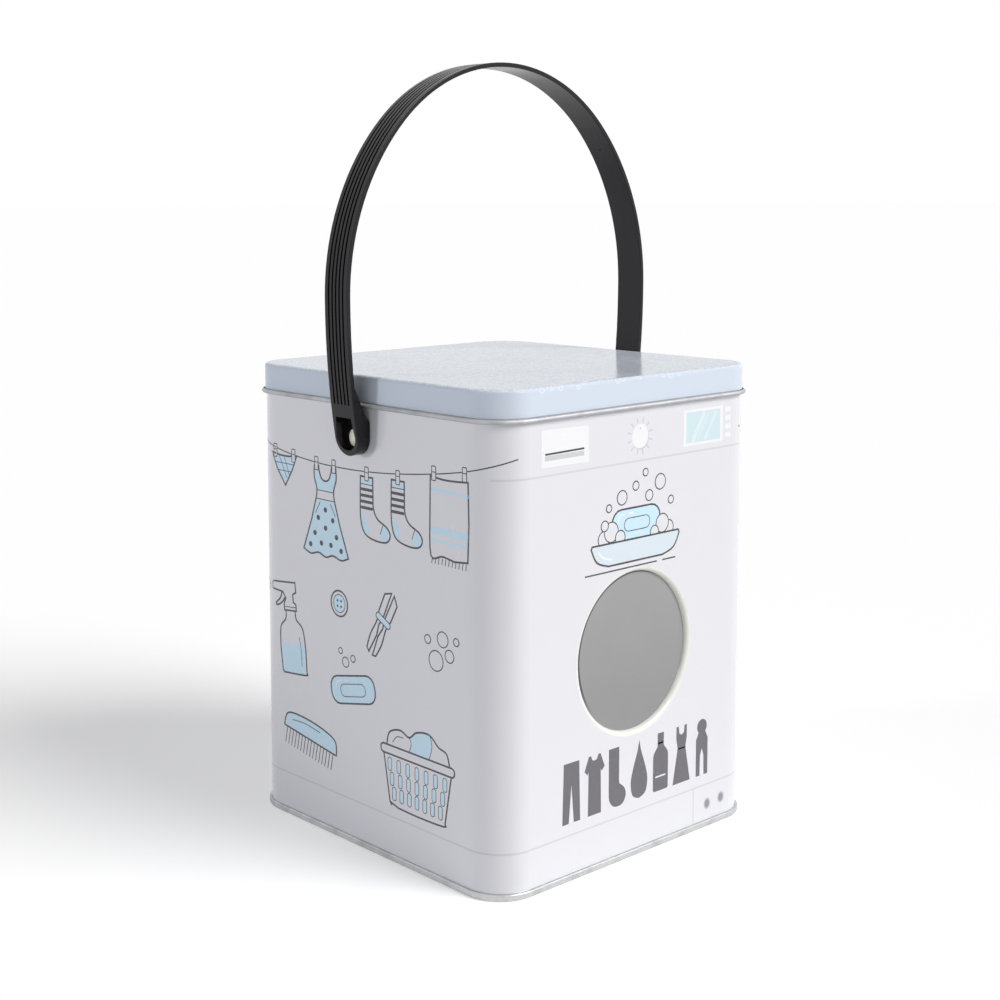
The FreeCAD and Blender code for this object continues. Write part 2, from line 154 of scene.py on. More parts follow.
def makeSheetGrain():
    # the surface of lacquered sheet: orange peel, slow waves, hand smudges and dust, each with its size
    look = {"peel": 1.6 * mm, "wave": 55 * mm, "smudge": 24 * mm, "mottle": 0.55 * mm, "dust": 5 * mm}
    tree, given, result = newGroup(
        "sheetGrain",
        [("Vector", "Vector", None), ("Peel", "Float", 0.2), ("Wave", "Float", 1.0)],
        [("Height", "Float"), ("Smudge", "Float"), ("Mottle", "Float"), ("Dust", "Float")])
    vector = given.outputs["Vector"]
    peel = maths(tree, "MULTIPLY", noise(tree, vector, look["peel"], 3.0), given.outputs["Peel"])
    wave = maths(tree, "MULTIPLY", noise(tree, vector, look["wave"], 1.0), given.outputs["Wave"])
    height = maths(tree, "ADD", peel, wave)
    smudge = softStep(tree, noise(tree, vector, look["smudge"], 5.0, 0.62), 0.42, 0.72)
    mottle = noise(tree, vector, look["mottle"], 2.0, 0.7)
    spots = addNode(tree, "TexVoronoi", {"Vector": vector, "Scale": 1 / look["dust"]})
    dust = softStep(tree, spots.outputs["Distance"], 0.035, 0.015)
    for label, socket in (("Height", height), ("Smudge", smudge), ("Mottle", mottle), ("Dust", dust)):
        tree.links.new(socket, result.inputs[label])
    return tree


def makeMetalGrain():
    # bare tinplate: rolling lines, drawn out by the stretch, spangle and dull patches, each with its size
    look = {"lines": 0.5 * mm, "spangle": 1.3 * mm, "dull": 9 * mm}
    tree, given, result = newGroup(
        "metalGrain", [("Vector", "Vector", None), ("Stretch", "Vector", None)],
        [("Height", "Float"), ("Dull", "Float"), ("Shade", "Float")])
    vector = given.outputs["Vector"]
    pulled = vectorMaths(tree, "MULTIPLY", vector, given.outputs["Stretch"])
    lines = noise(tree, pulled, look["lines"], 3.0, 0.6)
    spangle = noise(tree, vector, look["spangle"], 2.0, 0.6)
    dull = softStep(tree, noise(tree, vector, look["dull"], 4.0, 0.6), 0.4, 0.7)
    height = maths(tree, "ADD", maths(tree, "MULTIPLY", lines, 0.6), maths(tree, "MULTIPLY", spangle, 0.4))
    shade = maths(tree, "ADD", maths(tree, "MULTIPLY", lines, 0.5), maths(tree, "MULTIPLY", spangle, 0.5))
    for label, socket in (("Height", height), ("Dull", dull), ("Shade", shade)):
        tree.links.new(socket, result.inputs[label])
    return tree


def makeOuterSide():
    # 1 on faces that look away from a point inside the tin, 0 on faces that look towards it
    tree, given, result = newGroup(
        "outerSide", [("Vector", "Vector", None), ("Normal", "Vector", None), ("Middle", "Vector", None)],
        [("Mask", "Float")])
    away = vectorMaths(tree, "SUBTRACT", given.outputs["Vector"], given.outputs["Middle"])
    facing = vectorMaths(tree, "DOT_PRODUCT", away, given.outputs["Normal"])
    tree.links.new(softStep(tree, facing, -2 * mm, 2 * mm), result.inputs["Mask"])
    return tree


sheetGrain = makeSheetGrain()
metalGrain = makeMetalGrain()
outerSide = makeOuterSide()
print("shared effects made")


tinplate = {
    "inside": 0.42,                     # how metallic the walls and lid look inside
    "colour": linear(202, 203, 204),
    "dullColour": linear(182, 183, 184),
    "lineColour": linear(120, 121, 123),
    "lines": 0.12,                      # how strongly the rolling lines show
    "roughness": (0.36, 0.5),
    "alongWall": (1.0, 1.0, 0.05),      # how the rolling lines are stretched
    "alongRim": (0.06, 0.06, 1.0),
}


def tinplateLook(tree, place, stretch):
    # colour and roughness of bare tinplate, for whole pieces and for the bare parts of others
    grain = useGroup(tree, metalGrain, {"Vector": place, "Stretch": stretch})
    colour = mixColours(tree, grain["Dull"], tinplate["colour"], tinplate["dullColour"])
    lines = softStep(tree, grain["Shade"], 0.3, 0.7, 0.0, tinplate["lines"])
    shaded = mixColours(tree, lines, colour, tinplate["lineColour"])
    roughness = softStep(tree, grain["Dull"], 0.0, 1.0, *tinplate["roughness"])
    return shaded, roughness, grain["Height"]


def makeWhiteEnamel():
    look = {
        "white": linear(230, 230, 235),
        "line": linear(214, 214, 220),
        "lip": linear(242, 242, 236),
        "roughness": (0.2, 0.25),
        "printLine": (19.0 * mm, 0.42 * mm),     # height and half width, all round
        "panelLine": (168.9 * mm, 0.42 * mm),    # height and half width, front only
        "divider": (39.4 * mm, 0.4 * mm),        # x and half width, front only, under the print line
        "dots": ((48.9 * mm, 10.0 * mm), (58.5 * mm, 10.6 * mm)),
        "dotColour": linear(118, 117, 125),
        "dotEdge": (2.7 * mm, 1.1 * mm), "dotDepth": 0.85,
        "soft": 0.12 * mm,                       # softness of a line's edge
        "frontDepth": (8 * mm, 7 * mm),          # how far back the front's own print reaches
        "mottle": 0.05,
        "dust": 0.25, "dustColour": linear(190, 190, 192),
        "bump": (0.05 * mm, 0.5),
    }
    material, tree, shader, place, normal = newMaterial("whiteEnamel", tin["coat"])
    grain = useGroup(tree, sheetGrain, {"Vector": place, "Peel": 0.1, "Wave": 1.0})
    xyz = addNode(tree, "SeparateXYZ", {0: place}).outputs

    def stripe(value, middle, half):
        away = maths(tree, "ABSOLUTE", maths(tree, "SUBTRACT", value, middle))
        return softStep(tree, away, half + look["soft"], half - look["soft"])

    begin, end = look["frontDepth"]
    frontOnly = softStep(tree, xyz["Y"], -tin["half"] + begin, -tin["half"] + end)
    lines = stripe(xyz["Z"], *look["printLine"])
    panel = maths(tree, "MULTIPLY", stripe(xyz["Z"], *look["panelLine"]), frontOnly)
    foot = softStep(tree, xyz["Z"], look["printLine"][0], look["printLine"][0] - look["soft"])
    divider = maths(tree, "MULTIPLY", stripe(xyz["X"], *look["divider"]), maths(tree, "MULTIPLY", foot, frontOnly))
    printed = maths(tree, "MAXIMUM", lines, maths(tree, "MAXIMUM", panel, divider))
    mottle = softStep(tree, grain["Mottle"], 0.35, 0.75, 0.0, look["mottle"])
    white = mixColours(tree, mottle, look["white"], look["line"])
    white = mixColours(tree, printed, white, look["line"])
    for dotX, dotZ in look["dots"]:
        offset = vectorMaths(tree, "SUBTRACT", place, (dotX, -tin["half"], dotZ))
        away = vectorMaths(tree, "LENGTH", vectorMaths(tree, "MULTIPLY", offset, (1, 1, 0.86)))
        dot = softStep(tree, away, *look["dotEdge"], 0.0, look["dotDepth"])
        white = mixColours(tree, dot, white, look["dotColour"])
    white = mixColours(tree, maths(tree, "MULTIPLY", grain["Dust"], look["dust"]), white, look["dustColour"])

    # the sheet is bare on its inside; the lip of the window is coated, in a warmer white
    bareColour, bareRoughness, bareHeight = tinplateLook(tree, place, tinplate["alongWall"])
    outer = useGroup(tree, outerSide, {"Vector": place, "Normal": normal, "Middle": (0, 0, 0.1)})["Mask"]
    level = maths(tree, "SUBTRACT", xyz["Z"], tin["windowHeight"])
    across = maths(tree, "POWER", xyz["X"], 2.0)
    radius = maths(tree, "SQRT", maths(tree, "ADD", across, maths(tree, "POWER", level, 2.0)))
    inHole = softStep(tree, radius, tin["windowRadius"] - 0.05 * mm, tin["windowRadius"] - 0.25 * mm)
    onLip = maths(tree, "MULTIPLY", inHole, frontOnly)
    white = mixColours(tree, onLip, white, look["lip"])
    bare = maths(tree, "SUBTRACT", 1.0, maths(tree, "MAXIMUM", outer, onLip))
    colour = mixColours(tree, bare, white, bareColour)
    enamelRoughness = softStep(tree, grain["Smudge"], 0.0, 1.0, *look["roughness"])
    roughness = mixValues(tree, bare, enamelRoughness, bareRoughness)
    tree.links.new(colour, shader.inputs["Base Color"])
    tree.links.new(roughness, shader.inputs["Roughness"])
    tree.links.new(maths(tree, "MULTIPLY", bare, tinplate["inside"]), shader.inputs["Metallic"])
    addBump(tree, shader, mixValues(tree, bare, grain["Height"], bareHeight), *look["bump"])
    return material


def makeBareTinplate():
    look = {"metallic": 0.85, "bump": (0.02 * mm, 0.5)}
    material, tree, shader, place, _ = newMaterial("bareTinplate", {"Metallic": look["metallic"]})
    colour, roughness, height = tinplateLook(tree, place, tinplate["alongRim"])
    tree.links.new(colour, shader.inputs["Base Color"])
    tree.links.new(roughness, shader.inputs["Roughness"])
    addBump(tree, shader, height, *look["bump"])
    return material


def makeLidEnamel():
    look = {
        "blue": linear(216, 225, 238),
        # the top's blue differs from the skirt's only as painted light, set to how the top is lit
        "topBluePaintedLight": linear(217, 228, 242),
        "ring": linear(243, 246, 251),
        # the curl's grey carries a little blue, a painted reflection of the blue skirt
        "curl": linear(173, 176, 182), "curlDull": 0.18, "curlMetal": 0.9,
        "roughness": (0.13, 0.2),
        # size of a cell, mean radius, spread of the radii and half the line's width, all in mm,
        # and the share of the cells that hold a ring
        "rings": ((5.6, 1.75, 0.55, 0.24, 0.95), (3.7, 1.05, 0.35, 0.2, 0.8), (2.6, 0.42, 0.25, 0.3, 0.7)),
        "shift": (0.137, 0.071),        # from one layer of rings to the next
        "scatter": 0.75,
        "soft": 0.08,                   # softness of a ring's edge, mm
        "strays": 0.6,                  # share of the middling rings that run on over the skirt
        "straight": 63 * mm,            # middle of the top to where its corners begin
        "reach": 20 * mm,               # from there to the outermost rings
        "mottle": 0.05, "mottleColour": linear(190, 198, 210),
        "bump": (0.05 * mm, 0.4),
    }
    material, tree, shader, place, normal = newMaterial("lidEnamel", {"Specular IOR Level": 0.06})
    grain = useGroup(tree, sheetGrain, {"Vector": place, "Peel": 0.08, "Wave": 1.0})
    xyz = addNode(tree, "SeparateXYZ", {0: place}).outputs
    # the print was laid on the flat blank, so it runs straight down over the drawn skirt
    drop = maths(tree, "SUBTRACT", tin["top"], xyz["Z"])
    flatPlace = vectorMaths(tree, "MULTIPLY", place, (1, 1, 0))
    flatNormal = vectorMaths(tree, "MULTIPLY", normal, (1, 1, 0))
    unrolled = vectorMaths(tree, "ADD", flatPlace, vectorMaths(tree, "SCALE", flatNormal, drop))
    onTop = softStep(tree, drop, 0.9 * mm, 0.3 * mm)
    facesFront = softStep(tree, addNode(tree, "SeparateXYZ", {0: normal}).outputs["Y"], -0.8, -0.95)
    printed = None
    for layer, (cell, radius, spread, half, share) in enumerate(look["rings"]):
        shift = (layer * look["shift"][0], layer * look["shift"][1], 0)
        shifted = vectorMaths(tree, "ADD", unrolled, shift)
        inputs = {"Vector": shifted, "Scale": 1 / (cell * mm), "Randomness": look["scatter"]}
        cells = addNode(tree, "TexVoronoi", inputs, voronoi_dimensions="2D")
        away = maths(tree, "MULTIPLY", cells.outputs["Distance"], cell)
        chance = addNode(tree, "SeparateColor", {0: cells.outputs["Color"]}).outputs
        wanted = softStep(tree, chance["Red"], 0.0, 1.0, radius - spread, radius + spread)
        offLine = maths(tree, "ABSOLUTE", maths(tree, "SUBTRACT", away, wanted))
        ring = softStep(tree, offLine, half + look["soft"], half - look["soft"])
        kept = maths(tree, "LESS_THAN", chance["Green"], share)
        # a ring is there, whole, if its middle lies on the top or just past its edge;
        # only some of the middling ones at the front run on over the skirt
        middle = vectorMaths(tree, "SUBTRACT", cells.outputs["Position"], shift)
        middle = vectorMaths(tree, "ABSOLUTE", middle)
        past = vectorMaths(tree, "SUBTRACT", middle, (look["straight"], look["straight"], 0))
        past = vectorMaths(tree, "MAXIMUM", past)
        near = maths(tree, "LESS_THAN", vectorMaths(tree, "LENGTH", past), look["reach"])
        shown = onTop
        if layer == 1:
            stray = maths(tree, "MULTIPLY", facesFront, maths(tree, "LESS_THAN", chance["Blue"], look["strays"]))
            shown = maths(tree, "MAXIMUM", onTop, stray)
        ring = maths(tree, "MULTIPLY", maths(tree, "MULTIPLY", ring, shown), maths(tree, "MULTIPLY", kept, near))
        printed = ring if printed is None else maths(tree, "MAXIMUM", printed, ring)
    # painted light: the flat top takes its own blue, set to match how it is lit beside the skirt
    under = mixColours(tree, softStep(tree, drop, 0.3 * mm, 1.3 * mm), look["topBluePaintedLight"], look["blue"])
    blue = mixColours(tree, printed, under, look["ring"])
    mottle = softStep(tree, grain["Mottle"], 0.35, 0.75, 0.0, look["mottle"])
    blue = mixColours(tree, mottle, blue, look["mottleColour"])

    # the inside is bare tinplate, and the curled edge has a metallic grey of its own, tinted a little blue as a painted
    # reflection of the skirt
    bareColour, bareRoughness, bareHeight = tinplateLook(tree, place, tinplate["alongRim"])
    outer = useGroup(tree, outerSide, {"Vector": place, "Normal": normal, "Middle": (0, 0, 0.15)})["Mask"]
    onCurl = softStep(tree, xyz["Z"], tin["curlTop"] + 0.5 * mm, tin["curlTop"] + 0.2 * mm)
    bare = maths(tree, "MAXIMUM", maths(tree, "SUBTRACT", 1.0, outer), onCurl)
    bareColour = mixColours(tree, onCurl, bareColour, mixColours(tree, 0.5, bareColour, look["curl"]))
    bareRoughness = maths(tree, "ADD", bareRoughness, maths(tree, "MULTIPLY", onCurl, look["curlDull"]))
    enamelRoughness = softStep(tree, grain["Smudge"], 0.0, 1.0, *look["roughness"])
    roughness = mixValues(tree, bare, enamelRoughness, bareRoughness)
    tree.links.new(mixColours(tree, bare, blue, bareColour), shader.inputs["Base Color"])
    tree.links.new(roughness, shader.inputs["Roughness"])
    inside = maths(tree, "MULTIPLY", bare, tinplate["inside"])
    curl = maths(tree, "MULTIPLY", onCurl, look["curlMetal"])
    tree.links.new(maths(tree, "MAXIMUM", inside, curl), shader.inputs["Metallic"])
    addBump(tree, shader, mixValues(tree, bare, grain["Height"], bareHeight), *look["bump"])
    return material


def makeFrostedPane():
    look = {
        "grey": linear(162, 162, 163), "dark": linear(141, 141, 142), "roughness": (0.42, 0.55),
        "grain": 0.35 * mm, "cloud": 20 * mm,
        # the round field that stays bright, and outside it at the upper left a dark crescent of painted shade, as cast
        # by the window's lip
        "bright": (1.3 * mm, 0, tin["windowHeight"] - 0.1 * mm), "reach": 33.15 * mm,
        "edge": linear(62, 62, 67), "lipShadeDepth": 0.9, "lipShadeSoft": 0.2 * mm,
        "lipShadeSide": (-0.75, 0, 0.66), "lipShadeFade": (2 * mm, 18 * mm),
        "bump": (0.02 * mm, 0.5),
    }
    material, tree, shader, place, _ = newMaterial("frostedPane", {"Specular IOR Level": 0.4})
    grain = noise(tree, place, look["grain"], 3.0, 0.7)
    cloud = noise(tree, place, look["cloud"], 2.0)
    xyz = addNode(tree, "SeparateXYZ", {0: place}).outputs
    # painted shade: the grey darkens towards the bottom, with cloudy and fine uneven tone over it
    lower = softStep(tree, xyz["Z"], tin["windowHeight"] + 30 * mm, tin["windowHeight"] - 34 * mm)
    shade = maths(tree, "ADD", maths(tree, "MULTIPLY", lower, 0.5), maths(tree, "MULTIPLY", cloud, 0.25))
    shade = maths(tree, "ADD", shade, maths(tree, "MULTIPLY", grain, 0.2))
    grey = mixColours(tree, shade, look["grey"], look["dark"])
    # painted shade: the crescent darkens the pane next to the lip at the upper left
    offset = vectorMaths(tree, "SUBTRACT", place, look["bright"])
    away = vectorMaths(tree, "LENGTH", vectorMaths(tree, "MULTIPLY", offset, (1, 0, 1)))
    begin, end = look["reach"] - look["lipShadeSoft"], look["reach"] + look["lipShadeSoft"]
    edge = softStep(tree, away, begin, end, 0.0, look["lipShadeDepth"])
    towards = vectorMaths(tree, "DOT_PRODUCT", offset, look["lipShadeSide"])
    edge = maths(tree, "MULTIPLY", edge, softStep(tree, towards, *look["lipShadeFade"]))
    tree.links.new(mixColours(tree, edge, grey, look["edge"]), shader.inputs["Base Color"])
    tree.links.new(softStep(tree, grain, 0.3, 0.7, *look["roughness"]), shader.inputs["Roughness"])
    addBump(tree, shader, grain, *look["bump"])
    return material


def makePaneSeal():
    look = {
        "grey": linear(214, 214, 214), "pore": linear(190, 190, 190), "roughness": (0.75, 0.95),
        "pores": 0.6 * mm, "bump": (0.1 * mm, 0.8),
    }
    material, tree, shader, place, _ = newMaterial("paneSeal", {"Specular IOR Level": 0.2})
    pores = noise(tree, place, look["pores"], 3.0, 0.7)
    tree.links.new(mixColours(tree, pores, look["grey"], look["pore"]), shader.inputs["Base Color"])
    tree.links.new(softStep(tree, pores, 0.2, 0.8, *look["roughness"]), shader.inputs["Roughness"])
    addBump(tree, shader, pores, *look["bump"])
    return material


def makeBlackPlastic():
    look = {
        "black": linear(25, 23, 27), "scuff": linear(72, 70, 74), "roughness": (0.15, 0.25),
        "texture": 0.25 * mm, "flow": 7 * mm, "scuffs": 3 * mm, "wear": 0.25,
        # the pit's near-black is painted shade of its hollow
        "pit": (68.83 * mm, 4.0 * mm, 299.55 * mm), "pitRadius": 0.85 * mm, "pitShadeBlack": linear(3, 3, 4),
        "pitDull": 0.6,
        "bump": (0.012 * mm, 0.5),
    }
    material, tree, shader, place, _ = newMaterial("blackPlastic", {"Specular IOR Level": 0.3})
    texture = noise(tree, place, look["texture"], 3.0, 0.6)
    flow = noise(tree, vectorMaths(tree, "MULTIPLY", place, (1.0, 1.0, 0.2)), look["flow"], 3.0)
    wear = softStep(tree, noise(tree, place, look["scuffs"], 5.0, 0.7), 0.62, 0.8)
    colour = mixColours(tree, maths(tree, "MULTIPLY", wear, look["wear"]), look["black"], look["scuff"])
    # the mould left one small pit on the inner face; its hollow is painted near-black as shade and made duller
    away = vectorMaths(tree, "LENGTH", vectorMaths(tree, "SUBTRACT", place, look["pit"]))
    pit = softStep(tree, away, look["pitRadius"], 0.5 * look["pitRadius"])
    tree.links.new(mixColours(tree, pit, colour, look["pitShadeBlack"]), shader.inputs["Base Color"])
    roughness = softStep(tree, flow, 0.3, 0.7, *look["roughness"])
    dull = maths(tree, "MULTIPLY", pit, look["pitDull"])
    tree.links.new(maths(tree, "MAXIMUM", roughness, dull), shader.inputs["Roughness"])
    addBump(tree, shader, texture, *look["bump"])
    return material


def makeCreamRivet():
    look = {
        "cream": linear(251, 250, 228), "speck": linear(228, 227, 204), "rubbed": linear(168, 168, 162),
        "speckSize": 0.5 * mm, "specks": 0.3, "rubSize": 1.5 * mm, "rub": 0.4,
        "roughness": (0.28, 0.5),
        "coat": {"Coat Weight": 0.3, "Coat Roughness": 0.1},
        "bump": (0.03 * mm, 0.5),
    }
    material, tree, shader, place, _ = newMaterial("creamRivet", look["coat"])
    speck = noise(tree, place, look["speckSize"], 3.0, 0.6)
    rub = softStep(tree, noise(tree, place, look["rubSize"], 4.0, 0.7), 0.6, 0.75)
    colour = mixColours(tree, softStep(tree, speck, 0.4, 0.8, 0.0, look["specks"]), look["cream"], look["speck"])
    colour = mixColours(tree, maths(tree, "MULTIPLY", rub, look["rub"]), colour, look["rubbed"])
    tree.links.new(colour, shader.inputs["Base Color"])
    tree.links.new(softStep(tree, rub, 0.0, 1.0, *look["roughness"]), shader.inputs["Roughness"])
    addBump(tree, shader, speck, *look["bump"])
    return material


def makeZincWasher():
    look = {
        "zinc": linear(190, 191, 194), "dull": linear(160, 162, 166), "roughness": (0.3, 0.5),
        "bump": (0.03 * mm, 0.5),
    }
    material, tree, shader, place, _ = newMaterial("zincWasher", {"Metallic": 1.0})
    grain = useGroup(tree, metalGrain, {"Vector": place, "Stretch": (1, 1, 1)})
    colour = mixColours(tree, grain["Dull"], look["zinc"], look["dull"])
    tree.links.new(colour, shader.inputs["Base Color"])
    tree.links.new(softStep(tree, grain["Dull"], 0.0, 1.0, *look["roughness"]), shader.inputs["Roughness"])
    addBump(tree, shader, grain["Height"], *look["bump"])
    return material


giveMaterial("body_wall", makeWhiteEnamel())
giveMaterial("base_panel", makeBareTinplate())
giveMaterial("lid", makeLidEnamel())
giveMaterial("window_pane", makeFrostedPane())
giveMaterial("window_seal", makePaneSeal())
giveMaterial("handle", makeBlackPlastic())
creamRivet = makeCreamRivet()
zincWasher = makeZincWasher()
for side in ("left", "right"):
    giveMaterial("rivet_" + side, creamRivet)
    giveMaterial("washer_" + side, zincWasher)
print("materials made")


# the print on the walls: colour of each ink, and its colour where it lies thin
inks = {
    "ink": {"colour": (56, 54, 60), "thin": (74, 72, 78), "roughness": (0.18, 0.32)},
    "blue": {"colour": (203, 234, 252), "thin": (208, 235, 251), "roughness": (0.18, 0.32)},
    "pale": {"colour": (217, 229, 239), "thin": (220, 231, 240), "roughness": (0.18, 0.32)},
    "ground": {"colour": (230, 230, 235), "thin": (228, 228, 233), "roughness": (0.16, 0.3)},
    "white": {"colour": (244, 244, 247), "thin": (242, 242, 245), "roughness": (0.16, 0.3)},
    "glass": {"colour": (208, 231, 237), "thin": (212, 233, 238), "roughness": (0.16, 0.3)},
    "streak": {"colour": (222, 238, 242), "thin": (225, 239, 243), "roughness": (0.16, 0.3)},
    "shade": {"colour": (206, 207, 211), "thin": (210, 211, 215), "roughness": (0.18, 0.32)},
    "grey": {"colour": (98, 96, 102), "thin": (106, 104, 110), "roughness": (0.18, 0.32)},
}
prints = {ink: bmesh.new() for ink in inks}

# how the print is drawn, in mm
drawing = {
    "sink": 0.03,               # how far it reaches into the wall
    "lowest": 0.021,            # how far its first layer stands proud of the wall
    "layer": 0.001,             # how much higher each next shape lies
    "nearest": 0.02,            # points closer than this become one
    "arcStep": 0.45,            # a step along an arc
    "bendStep": 0.8,            # a step where a shape runs round a corner
    "bendFrom": 60,             # how far from the middle of a wall that begins
    "hairpin": 0.2,             # summed directions shorter than this turn right round
    "mitre": 0.5,               # the cosine at which a bend stops growing wider
    "roundEnd": ((0.6, 0.8), (0.95, 0.3)),      # past the end and across, in half widths
}
line = 0.8      # width of a drawn line, mm


def smooth(points, steps=6):
    # a rounded line through the points
    ends = [points[0]] + list(points) + [points[-1]]
    drawn = [points[0]]
    for a, b, c, d in zip(ends, ends[1:], ends[2:], ends[3:]):
        for step in range(1, steps + 1):
            t = step / steps
            drawn.append(tuple(
                0.5 * (2 * q + (r - p) * t + (2 * p - 5 * q + 4 * r - s) * t ** 2 + (3 * q - p - 3 * r + s) * t ** 3)
                for p, q, r, s in zip(a, b, c, d)))
    return drawn


def arc(x, y, radius, first=0, last=360):
    # points along an arc, in degrees; a full turn leaves out its last point
    length = radius * math.radians(abs(last - first))
    steps = max(12, int(length / drawing["arcStep"]))
    shown = steps if abs(last - first) == 360 else steps + 1
    turns = [math.radians(first + (last - first) * step / steps) for step in range(shown)]
    return [(x + radius * math.cos(turn), y + radius * math.sin(turn)) for turn in turns]


def box(left, low, right, high, radius=0.0):
    if radius == 0.0:
        return [(left, low), (right, low), (right, high), (left, high)]
    drawn = []
    for x, y, first in ((right - radius, low + radius, 270), (right - radius, high - radius, 0),
                        (left + radius, high - radius, 90), (left + radius, low + radius, 180)):
        turns = [math.radians(first + turn) for turn in (0, 22.5, 45, 67.5, 90)]
        drawn += [(x + radius * math.cos(turn), y + radius * math.sin(turn)) for turn in turns]
    return drawn


def onWall(side, u, v, lift):
    # u runs to the right as that wall is seen from outside, and bends round the corners
    flat = (tin["half"] - tin["corner"]) / mm
    corner = tin["corner"] / mm
    out = flat + corner + lift
    if abs(u) > flat:
        turn = (abs(u) - flat) / corner
        out = flat + (corner + lift) * math.cos(turn)
        u = math.copysign(flat + (corner + lift) * math.sin(turn), u)
    x, y = {"front": (u, -out), "left": (-out, -u), "right": (out, u), "back": (-u, out)}[side]
    return Vector((x, y, v)) * mm


def layPrint(ink, side, bm, lift):
    # the flat shape gets its thickness, is bent round the tin and joins the others in its ink
    grown = bmesh.ops.extrude_face_region(bm, geom=bm.faces[:])["geom"]
    upper = {part for part in grown if isinstance(part, bmesh.types.BMVert)}
    for vert in bm.verts:
        vert.co = onWall(side, vert.co.x, vert.co.y, lift if vert in upper else -drawing["sink"])
    mesh = bpy.data.meshes.new("laid")
    bm.to_mesh(mesh)
    bm.free()
    prints[ink].from_mesh(mesh)
    bpy.data.meshes.remove(mesh)


def addChain(bm, points, closed):
    verts = [bm.verts.new((x, y, 0)) for x, y in points]
    ends = verts[1:] + (verts[:1] if closed else [])
    return [bm.edges.new(pair) for pair in zip(verts, ends)]


def addStroke(ink, side, points, width, closed, lift):
    # a ribbon between two lines drawn beside the points, with rounded ends
    half = width / 2
    sections = []
    count = len(points)
    for number, (x, y) in enumerate(points):
        before = points[number - 1] if number or closed else None
        after = points[(number + 1) % count] if number + 1 < count or closed else None
        into = Vector((x - before[0], y - before[1])).normalized() if before else None
        away = Vector((after[0] - x, after[1] - y)).normalized() if after else None
        into, away = into or away, away or into
        along = (into + away).normalized() if (into + away).length > drawing["hairpin"] else away
        across = Vector((-along.y, along.x))
        reach = half / max(drawing["mitre"], across.dot(Vector((-away.y, away.x))))
        sections.append((Vector((x, y)), along, across, reach))
    if not closed:
        spot, along, across, reach = sections[-1]
        back = [(spot + along * half * past, along, across, half * wide) for past, wide in drawing["roundEnd"]]
        spot, along, across, reach = sections[0]
        front = [(spot - along * half * past, along, across, half * wide) for past, wide in drawing["roundEnd"]]
        sections = front[::-1] + sections + back
    bm = bmesh.new()
    left = addChain(bm, [spot + across * reach for spot, along, across, reach in sections], closed)
    right = addChain(bm, [spot - across * reach for spot, along, across, reach in sections], closed)
    bmesh.ops.bridge_loops(bm, edges=left + right)
    layPrint(ink, side, bm, lift)


def addFill(ink, side, points, lift):
    # a patch inside the points
    bm = bmesh.new()
    patch = bm.faces.new([bm.verts.new((u, v, 0)) for u, v in points])
    bmesh.ops.triangulate(bm, faces=[patch])
    layPrint(ink, side, bm, lift)


def finer(points, loop):
    # short steps where a shape runs round a corner
    drawn = []
    for p, q in zip(points, points[1:] + [points[0]]):
        steps = 1
        if max(abs(p[0]), abs(q[0])) > drawing["bendFrom"] and (loop or q is not points[0]):
            steps = math.ceil(math.dist(p, q) / drawing["bendStep"])
        wide, high = q[0] - p[0], q[1] - p[1]
        drawn += [(p[0] + wide * step / steps, p[1] + high * step / steps) for step in range(steps)]
    return drawn


def draw(side, shapes, at=(0, 0), size=1.0, turn=0.0):
    # shapes are (ink, "fill", points), (ink, width, points) or (ink, width, points, "closed");
    # each lies a little higher than the one before it
    c, s = math.cos(math.radians(turn)) * size, math.sin(math.radians(turn)) * size
    for number, (ink, kind, points, *closed) in enumerate(shapes):
        placed = [(at[0] + x * c - y * s, at[1] + x * s + y * c) for x, y in points]
        loop = kind == "fill" or closed
        pairs = zip(placed, placed[1:] + [placed[0]])
        placed = [p for p, q in pairs if math.dist(p, q) > drawing["nearest"] or (p is placed[-1] and not loop)]
        placed = finer(placed, loop)
        lift = drawing["lowest"] + drawing["layer"] * number
        if kind == "fill":
            addFill(ink, side, placed, lift)
        else:
            addStroke(ink, side, placed, kind, bool(closed), lift)


def pegs(*places):
    shapes = []
    for x, y in places:
        edge = box(x - 1.2, y - 3.2, x + 1.2, y + 2.6, 0.5)
        shapes += [("ground", "fill", edge), ("ink", 0.45, edge, "closed"),
                   ("ink", 0.4, [(x - 1.2, y + 0.2), (x + 1.2, y + 0.2)])]
    return shapes


def towel():
    edge = smooth([(-11, 0), (-3, -0.7), (4, -0.5), (11, 0)], 4) + smooth([(11.4, -17), (10.8, -32)], 3)
    edge += smooth([(3, -32.8), (-4, -31.8), (-10.8, -32.4), (-11.3, -16)], 4)
    shapes = [("ground", "fill", edge),
              ("blue", "fill", [(-11.2, -20), (11.2, -20.4), (11.1, -23.4), (-11.1, -23)]),
              ("blue", "fill", [(-11.1, -25), (11, -25.4), (10.9, -26.8), (-11, -26.4)]),
              ("blue", "fill", [(-11.2, -4.6), (11.2, -5), (11.2, -6.4), (-11.2, -6)]),
              ("ink", line, edge, "closed")]
    shapes += [("ink", 0.4, [(x, -32.8), (x - 0.3, -35.2)]) for x in range(-10, 11, 2)]
    return shapes


